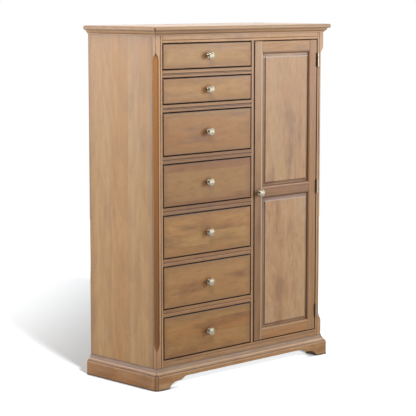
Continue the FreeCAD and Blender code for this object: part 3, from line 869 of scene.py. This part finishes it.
def bow_points(start, end, bow):
    """Points after start on the arc to end that stands off its chord by bow, to the left."""
    start, end = Vector(start), Vector(end)
    chord = end - start
    half = chord.length / 2
    side = Vector((-chord.y, chord.x)).normalized()
    radius = (half * half + bow * bow) / (2 * bow)
    centre = start + chord / 2 + side * (bow - radius)
    first = start - centre
    turn = -2 * math.asin(half / radius)
    points = []
    for step in range(1, arc_steps + 1):
        angle = turn * step / arc_steps
        across = Vector((
            first.x * math.cos(angle) - first.y * math.sin(angle),
            first.x * math.sin(angle) + first.y * math.cos(angle),
        ))
        points.append(centre + across)
    return points


def knob_outline():
    """Half the section of a knob: distance from the axis and distance from the wood."""
    collar_front = knob_rose_thick + knob_collar_thick
    rim = knob_out - knob_rim
    plate = knob_out - knob_swell
    ring_out, ring_floor = knob_ring + knob_ring_width, plate - knob_ring_deep
    outline = [
        (0.0, 0.0), (knob_rose, 0.0), (knob_rose, knob_rose_thick - knob_ease),
        (knob_rose - knob_ease, knob_rose_thick), (knob_collar, knob_rose_thick),
        (knob_collar, collar_front - knob_ease), (knob_collar - knob_ease, collar_front),
        (knob_neck, collar_front),
    ]
    outline += bow_points(outline[-1], (knob_face, rim), knob_waist_bow)
    outline += bow_points(outline[-1], (knob_face - knob_lip, plate), -knob_lip_bow)
    outline += [
        (ring_out, plate), (ring_out - knob_ease, ring_floor), (knob_ring + knob_ease, ring_floor),
        (knob_ring, plate),
    ]
    for step in range(1, arc_steps):
        share = step / arc_steps
        outline.append((knob_ring * (1 - share), knob_out - knob_swell * (1 - share) ** 2))
    return [*outline, (0.0, knob_out)]


def make_lathe():
    """A tree that turns an outline round an axis and sets the copies down where they are wanted."""
    tree = bpy.data.node_groups.new("lathe", "GeometryNodeTree")
    for label, kind in (
        ("Outline", "NodeSocketGeometry"), ("Sides", "NodeSocketInt"), ("Axis size", "NodeSocketFloat"),
        ("Place", "NodeSocketVector"), ("Turn", "NodeSocketRotation"), ("Finish", "NodeSocketMaterial"),
    ):
        tree.interface.new_socket(label, in_out="INPUT", socket_type=kind)
    tree.interface.new_socket("Turned", in_out="OUTPUT", socket_type="NodeSocketGeometry")
    given = node(tree, "NodeGroupInput").outputs
    outline = node(tree, "GeometryNodeMeshToCurve", {0: given["Outline"]}).outputs[0]
    circle = node(
        tree, "GeometryNodeCurvePrimitiveCircle",
        {"Resolution": given["Sides"], "Radius": given["Axis size"]},
    ).outputs[0]
    turned = node(tree, "GeometryNodeCurveToMesh", {"Curve": circle, "Profile Curve": outline}).outputs[0]
    joined = {"Geometry": turned, "Distance": lathe_weld}
    welded = node(tree, "GeometryNodeMergeByDistance", joined).outputs[0]
    point = node(tree, "GeometryNodePoints", {"Count": 1, "Position": given["Place"]}).outputs[0]
    copies = node(
        tree, "GeometryNodeInstanceOnPoints",
        {"Points": point, "Instance": welded, "Rotation": given["Turn"]},
    ).outputs[0]
    whole = node(tree, "GeometryNodeRealizeInstances", {0: copies}).outputs[0]
    finished = node(tree, "GeometryNodeSetMaterial", {"Geometry": whole, "Material": given["Finish"]})
    node(tree, "NodeGroupOutput", {0: finished.outputs[0]})
    return tree


lathe = make_lathe()


def socket_of(tree, label):
    """The identifier of a tree's input."""
    return next(item.identifier for item in tree.interface.items_tree if item.name == label)


def screw_outline(length):
    """Half the section of a knob's screw, whose head is length behind the wood's face."""
    return [
        (0.0, -length), (screw_head - knob_ease, -length), (screw_head, knob_ease - length),
        (screw_head, screw_head_thick - length), (screw_shank, screw_head_thick - length),
        (screw_shank, screw_grip), (0.0, screw_grip),
    ]


def knob_place(name):
    """The middle of a knob's box, on the plane of Y at 0."""
    low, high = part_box(name)
    return ((low.x + high.x) / 2, 0.0, (low.z + high.z) / 2)


def knob(name, material):
    """One turned knob with its screw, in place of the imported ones."""
    low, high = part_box(name)
    across, _, up = knob_place(name)
    face = low.y + knob_out
    work = bmesh.new()
    for outline in (knob_outline(), screw_outline(high.y - face)):
        corners = [work.verts.new((out, along, 0.0)) for out, along in outline]
        for first, second in zip(corners, corners[1:]):
            work.edges.new((first, second))
    mesh = bpy.data.meshes.new(name + "_turned")
    work.to_mesh(mesh)
    work.free()
    made = bpy.data.objects.new(name + "_turned", mesh)
    bpy.context.scene.collection.objects.link(made)
    modifier = made.modifiers.new("lathe", "NODES")
    modifier.node_group = lathe
    for label, value in {
        "Sides": knob_sides, "Axis size": weld, "Place": (across, face, up), "Turn": (-math.pi / 2, 0.0, 0.0),
        "Finish": material,
    }.items():
        modifier[socket_of(lathe, label)] = value
    baked(made)
    work = bmesh.new()
    work.from_mesh(made.data)
    bmesh.ops.recalc_face_normals(work, faces=work.faces)
    for face_now in work.faces:
        face_now.smooth = True
    for edge in work.edges:
        edge.smooth = edge.calc_face_angle(0) < smooth_angle
    work.to_mesh(made.data)
    work.free()
    return dressed(made, name)


def softbox(name, place, size, power):
    """A square studio light turned to the chest."""
    lamp = bpy.data.lights.new(name, "AREA")
    lamp.shape = "RECTANGLE"
    lamp.size = size
    lamp.size_y = size
    lamp.energy = power
    made = bpy.data.objects.new(name, lamp)
    bpy.context.scene.collection.objects.link(made)
    made.location = place
    made.rotation_euler = (Vector(aim) - Vector(place)).to_track_quat("-Z", "Y").to_euler()
    return made


def floor_sun(name, way, spread_angle, power):
    """A soft light from far away for the floor."""
    lamp = bpy.data.lights.new(name, "SUN")
    lamp.energy = power
    lamp.angle = spread_angle
    made = bpy.data.objects.new(name, lamp)
    bpy.context.scene.collection.objects.link(made)
    made.rotation_euler = Vector(way).to_track_quat("-Z", "Y").to_euler()
    return made


def lit_only(lamp, things, state):
    """Has a lamp light only some things, or everything else."""
    seen = bpy.data.collections.new(lamp.name + "_on")
    for thing in things:
        seen.objects.link(thing)
    for link in seen.collection_objects:
        link.light_linking.link_state = state
    lamp.light_linking.receiver_collection = seen


def studio_floor():
    """A pale floor that the camera sees as white, apart from the shadow on it, with a painted contact shadow
    at the chest's foot and a glow painted dimmer near the chest so that its shadow fades.
    """
    made, tree = new_material("studio_floor")
    rays = node(tree, "ShaderNodeLightPath").outputs
    seen = maths(tree, "MAXIMUM", rays["Is Camera Ray"], rays["Is Glossy Ray"])
    seen = maths(tree, "MAXIMUM", seen, rays["Is Transmission Ray"])
    shade = maths(tree, "MULTIPLY_ADD", rays["Is Camera Ray"], 1.0 - floor_bounce, floor_bounce)
    # A painted contact shadow where the chest stands
    contact = spread(tree, hollows(tree, contact_reach, 8), *contact_span, contact_dark, 1.0)
    tint = scaled(tree, scaled(tree, floor_white[:3], shade), contact)
    paint = node(tree, "ShaderNodeBsdfDiffuse", {"Color": tint}).outputs[0]
    # The glow is painted dimmer near the chest and brighter off to the left and back, fading its shadow, and a
    # little brighter in front
    away = dot(tree, node(tree, "ShaderNodeTexCoord").outputs["Object"], floor_fade_way)
    lift = spread(tree, away, floor_near, floor_far, floor_lift, floor_lift_far)
    lift = maths(tree, "ADD", lift, spread(tree, away, floor_near, 0.0, 0.0, floor_lift_front))
    strength = product(tree, seen, contact, lift)
    glow = node(tree, "ShaderNodeEmission", {"Color": studio_white, "Strength": strength}).outputs[0]
    total = node(tree, "ShaderNodeAddShader", {0: paint, 1: glow}).outputs[0]
    node(tree, "ShaderNodeOutputMaterial", {"Surface": total})
    work = bmesh.new()
    bmesh.ops.create_grid(work, x_segments=1, y_segments=1, size=floor_reach)
    mesh = bpy.data.meshes.new("studio_floor")
    work.to_mesh(mesh)
    work.free()
    mesh.materials.append(made)
    floor = bpy.data.objects.new("studio_floor", mesh)
    bpy.context.scene.collection.objects.link(floor)
    return floor


def studio_world():
    """Even light from all round, white where it is seen or mirrored."""
    world = bpy.data.worlds.new("studio")
    bpy.context.scene.world = world
    world.use_nodes = True
    tree = world.node_tree
    tree.nodes.clear()
    rays = node(tree, "ShaderNodeLightPath").outputs
    seen = maths(tree, "MAXIMUM", rays["Is Camera Ray"], rays["Is Transmission Ray"])
    way = node(tree, "ShaderNodeTexCoord").outputs["Generated"]
    backdrop = spread(tree, dot(tree, way, backdrop_way), *backdrop_span, mirror_level, backdrop_level)
    lit_half = spread(tree, dot(tree, way, strip_left), *strip_split)
    strip = maths(tree, "MULTIPLY_ADD", lit_half, strip_level, strip_edge_level)
    ahead = spread(tree, dot(tree, way, strip_way), *strip_span)
    upward = spread(tree, parts_of(tree, way)[2], *strip_top)
    mirrored = maths(tree, "ADD", product(tree, strip, ahead, upward), backdrop)
    mirrored = maths(tree, "MULTIPLY", rays["Is Glossy Ray"], mirrored)
    strength = maths(tree, "MAXIMUM", maths(tree, "MAXIMUM", mirrored, world_level), seen)
    back = node(tree, "ShaderNodeBackground", {"Color": studio_white, "Strength": strength}).outputs[0]
    node(tree, "ShaderNodeOutputWorld", {"Surface": back})


def studio_camera():
    """The camera at the photograph's place and angle."""
    lens = bpy.data.cameras.new("camera")
    lens.lens = camera_lens
    lens.sensor_width = camera_sensor
    lens.clip_end = view_reach
    camera = bpy.data.objects.new("camera", lens)
    bpy.context.scene.collection.objects.link(camera)
    camera.location = camera_place
    camera.rotation_euler = (math.pi / 2 - camera_dip, 0.0, camera_turn)
    bpy.context.scene.camera = camera


def lit_studio():
    """The floor, the world, the lamps and the camera."""
    floor = studio_floor()
    studio_world()
    for name, place, size, power, unlit in (
        ("key_light", key_place, key_size, key_power, [floor, *knobs, *lid]),
        ("side_light", side_place, side_size, side_power, [floor, *lid]),
        ("fill_light", fill_place, fill_size, fill_power, [floor]),
    ):
        lit_only(softbox(name, place, size, power), unlit, "EXCLUDE")
    for name, place, size, power in (
        ("low_key_light", low_key_place, key_size, key_power),
        ("low_side_light", low_side_place, side_size, side_power),
    ):
        lit_only(softbox(name, place, size, power), lid, "INCLUDE")
    for sun in floor_suns:
        lit_only(floor_sun(*sun), [floor], "INCLUDE")
    studio_camera()
    bpy.context.scene.view_settings.view_transform = "Standard"


def dress_case():
    """The boards of the case, outside and inside."""
    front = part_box("drawer_rails")[0].y
    for name, seed in {"side_panel_left": 3.1, "side_panel_right": 7.7}.items():
        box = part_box(name)
        # The side panels take painted shade along their top
        finish = glazed_wood(
            name, upright_side, side_strip, seed, 1.095, rim=box, arris=0.5, figure=0.8, bold=0.8, fine=0.75,
            boards=0.60, hues=0.04, apart=0.16, bleached=0.03, cast=(1.0, 1.01, 0.96),
            lines=[(on_z, box[1].z, *side_top_shade)],
        )
        softened(name, [finish])
    for name, seed, light, arris, sunk, chamfer in (
        ("corner_post_left", 1.3, 1.17, 0.75, 0.38, {}),
        ("corner_post_right", 2.9, 1.12, 0.40, 0.12, {"slanted": umber}),
        ("centre_stile", 4.4, 1.12, 0.75, 0.40, {}),
    ):
        finish = glazed_wood(
            name, upright_front, one_board, seed, light, arris=arris, plane=front, sunk=sunk, bleached=0.08,
            lines=[(on_x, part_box("door_hinge_stile")[1].x, *hinge_gap)], **chamfer,
        )
        softened(name, [finish])
    # Painted shade in umber along each drawer rail
    shaded = []
    for number, most in enumerate(rail_painted_shade, 1):
        low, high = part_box(f"drawer_{number + 1}_front")[1].z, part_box(f"drawer_{number}_front")[0].z
        shaded.append((on_z, (low + high) / 2, rail_reach, most, umber))
    for name, seed, light, sunk, arris, wear in (
        ("frieze_rail", 5.2, 1.18, 0.0, 0.25, {}),
        ("drawer_rails", 6.1, 0.90, 0.40, 0.65, {"lines": shaded, "cast": (1.015, 0.94, 0.81)}),
        ("bottom_rail", 8.3, 0.92, 0.40, 0.65, {}),
    ):
        finish = glazed_wood(
            name, along_x, rail_strip, seed, light, arris=arris, plane=front, sunk=sunk, low=bead_low,
            bold=1.2, dirt=rail_dirt + sunk, **wear,
        )
        softened(name, [finish])
    # The top and the crown are paled, partly as painted sheen
    finish = glazed_wood(
        "top_board", along_x_flat, top_strip, 9.4, 1.13, rim=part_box("top_board"), corner=0.6, slanted=umber,
        bleached=0.15, coat=0.40, cast=(0.98, 1.01, 1.05),
    )
    lid.append(softened("top_board", [finish]))
    softened("crown_moulding", [
        glazed_wood(name, way, one_board, seed, 1.22, corner=0.6, slanted=umber, dirt=0.35, bleached=0.2)
        for name, way, seed in (("crown_front", along_x, 2.2), ("crown_side", along_y, 3.8))
    ])
    for name, way, seed, light, cast, mitred, more in (
        ("base_front", along_x, 6.6, 1.04, (1.02, 1.02, 0.95), (0, 1), []),
        ("base_sides", along_y, 1.9, 0.81, (1.10, 0.99, 0.84), (0,), [side_cove]),
    ):
        axis, box = way[0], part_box(name)
        # Glazing beside the facets; the base's lines hold glazing, painted shade, a painted shadow and a
        # painted highlight
        facets = [(axis, box[end][axis] + (1 - 2 * end) * facet_in, *facet_edge) for end in mitred]
        finish = glazed_wood(
            name, way, one_board, seed, light, corner=0.5, worn=0.2, slanted=facet_tan, bold=1.6, cast=cast,
            lines=base_lines + facets + more,
        )
        softened(name, [finish])
    inner = {
        "partition_panel": (upright_side, inner_strip), "case_floor": (along_x_flat, inner_strip),
        "rear_rail": (along_x, one_board), "foot_blocks": (upright_front, one_board),
        "drawer_runners": (along_y, one_board), "shelves": (along_x_flat, shelf_strip),
    }
    for seed, (name, (way, strip)) in enumerate(inner.items()):
        softened(name, [plain_wood(name, way, strip, seed + 0.6)], inner_ease)
    painted("back_panel", plain_wood("back_panel", upright_front, back_strip, 5.5, ply_face, ply_rings))


def dress_drawers():
    """The drawers, each cut from other boards."""
    ends = plain_wood("box_ends", along_x, one_board, 3.3)
    sides = plain_wood("box_sides", along_y, one_board, 8.8)
    ply = plain_wood("tray", along_x_flat, tray_strip, 2.4, ply_face, ply_rings)
    for number, (light, cool) in enumerate(zip(drawer_light, drawer_cool), 1):
        name = f"drawer_{number}"
        finish = glazed_wood(
            name, along_x, front_strip, number * drawer_seed, light, rim=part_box(name + "_front"), arris=0.85,
            figure=0.9, bold=1.4, fine=0.35, rings=0.05, boards=0.9, apart=0.25,
            cast=(1.065, 0.935 * cool, 0.60 * cool * cool), knob=knob_place(name + "_knob"),
        )
        softened(name + "_front", [finish])
        softened(name + "_box", [ends, sides], inner_ease)
        painted(name + "_bottom", ply)
        knobs.append(knob(name + "_knob", metal))


def dress_door():
    """The framed door with its two panels, knob, hinges and catch."""
    latch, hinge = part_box("door_latch_stile"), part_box("door_hinge_stile")
    # A tint at the latch stile's top, a painted glint along its sticking and painted shadow in the gaps
    latch_lines = [
        (on_z, latch[1].z, *stile_top), (on_x, latch[1].x - glint_in, *stile_glint),
        (on_x, latch[0].x, *latch_gap),
    ]
    hinge_lines = [(on_x, hinge[0].x + sticking, *dark_sticking), (on_x, hinge[1].x, *hinge_gap)]
    for name, seed, light, climb, lines in (
        ("door_latch_stile", 2.7, 0.78, 0.13, latch_lines),
        ("door_hinge_stile", 5.9, 0.85, 0.02, hinge_lines),
    ):
        finish = glazed_wood(
            name, upright_front, one_board, seed, light, slanted=umber, knob=knob_place("door_knob"),
            lines=lines, cast=(1.0, 0.945, 0.91), climb=climb,
        )
        softened(name, [finish], inner_ease)
    # Painted shadow in the gaps, and painted highlight and shade beside the sticking
    gap, pale, dark = (0.0, rail_gap), (sticking, pale_sticking), (sticking, dark_sticking)
    for name, seed, light, cast, joint, (down, above), (up, below) in (
        ("door_top_rail", 1.1, 0.93, (1.00, 0.95, 0.77), top_joint, gap, dark),
        ("door_middle_rail", 4.9, 0.60, (1.04, 0.86, 0.69), plain_joint, pale, dark),
        ("door_bottom_rail", 7.3, 0.88, (1.04, 0.93, 0.82), plain_joint, pale, gap),
    ):
        low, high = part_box(name)
        lines = [(on_x, end, *joint) for end in (low.x, high.x)]
        lines += [(on_z, high.z - down, *above), (on_z, low.z + up, *below)]
        finish = glazed_wood(
            name, along_x, one_board, seed, light, slanted=umber, tilts=rail_tilts, lines=lines, cast=cast,
        )
        softened(name, [finish], inner_ease)
    # Each panel takes a painted highlight on its field's crest and painted shade and highlight on its leaning
    # faces
    for name, seed, light, crest, tilts in (
        ("door_upper_panel", 3.6, 1.00, upper_crest, upper_tilts),
        ("door_lower_panel", 9.2, 1.04, lower_crest, lower_tilts),
    ):
        finish = glazed_wood(
            name, upright_front, one_board, seed, light, worn=0.85, slanted=umber, tilts=panel_tilts + tilts,
            figure=1.1, bold=1.6, fine=0.32, rings=0.08, bleached=0.11,
            lines=[(on_z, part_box(name)[1].z - crest_in, *crest)],
        )
        softened(name, [finish], inner_ease)
    knobs.append(knob("door_knob", metal))
    for name in ("hinge_case_leaves", "hinge_door_leaves", "catch_plate", "shelf_pins"):
        painted(name, hinge_steel)
    painted("door_catch", moulded_plastic("catch", catch_brown))


metal = satin_metal("knob", nickel, 0.12, knob_scratches)
knobs = []
lid = []
# One side of each hinge barrel is painted darker, as a painted dark reflection
barrel_x = (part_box("door_hinge_stile")[1].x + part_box("corner_post_right")[0].x) / 2 - barrel_shade
hinge_steel = satin_metal("hinge", steel, 0.20, hinge_scratches, barrel_x)
dress_case()
dress_drawers()
dress_door()
lit_studio()
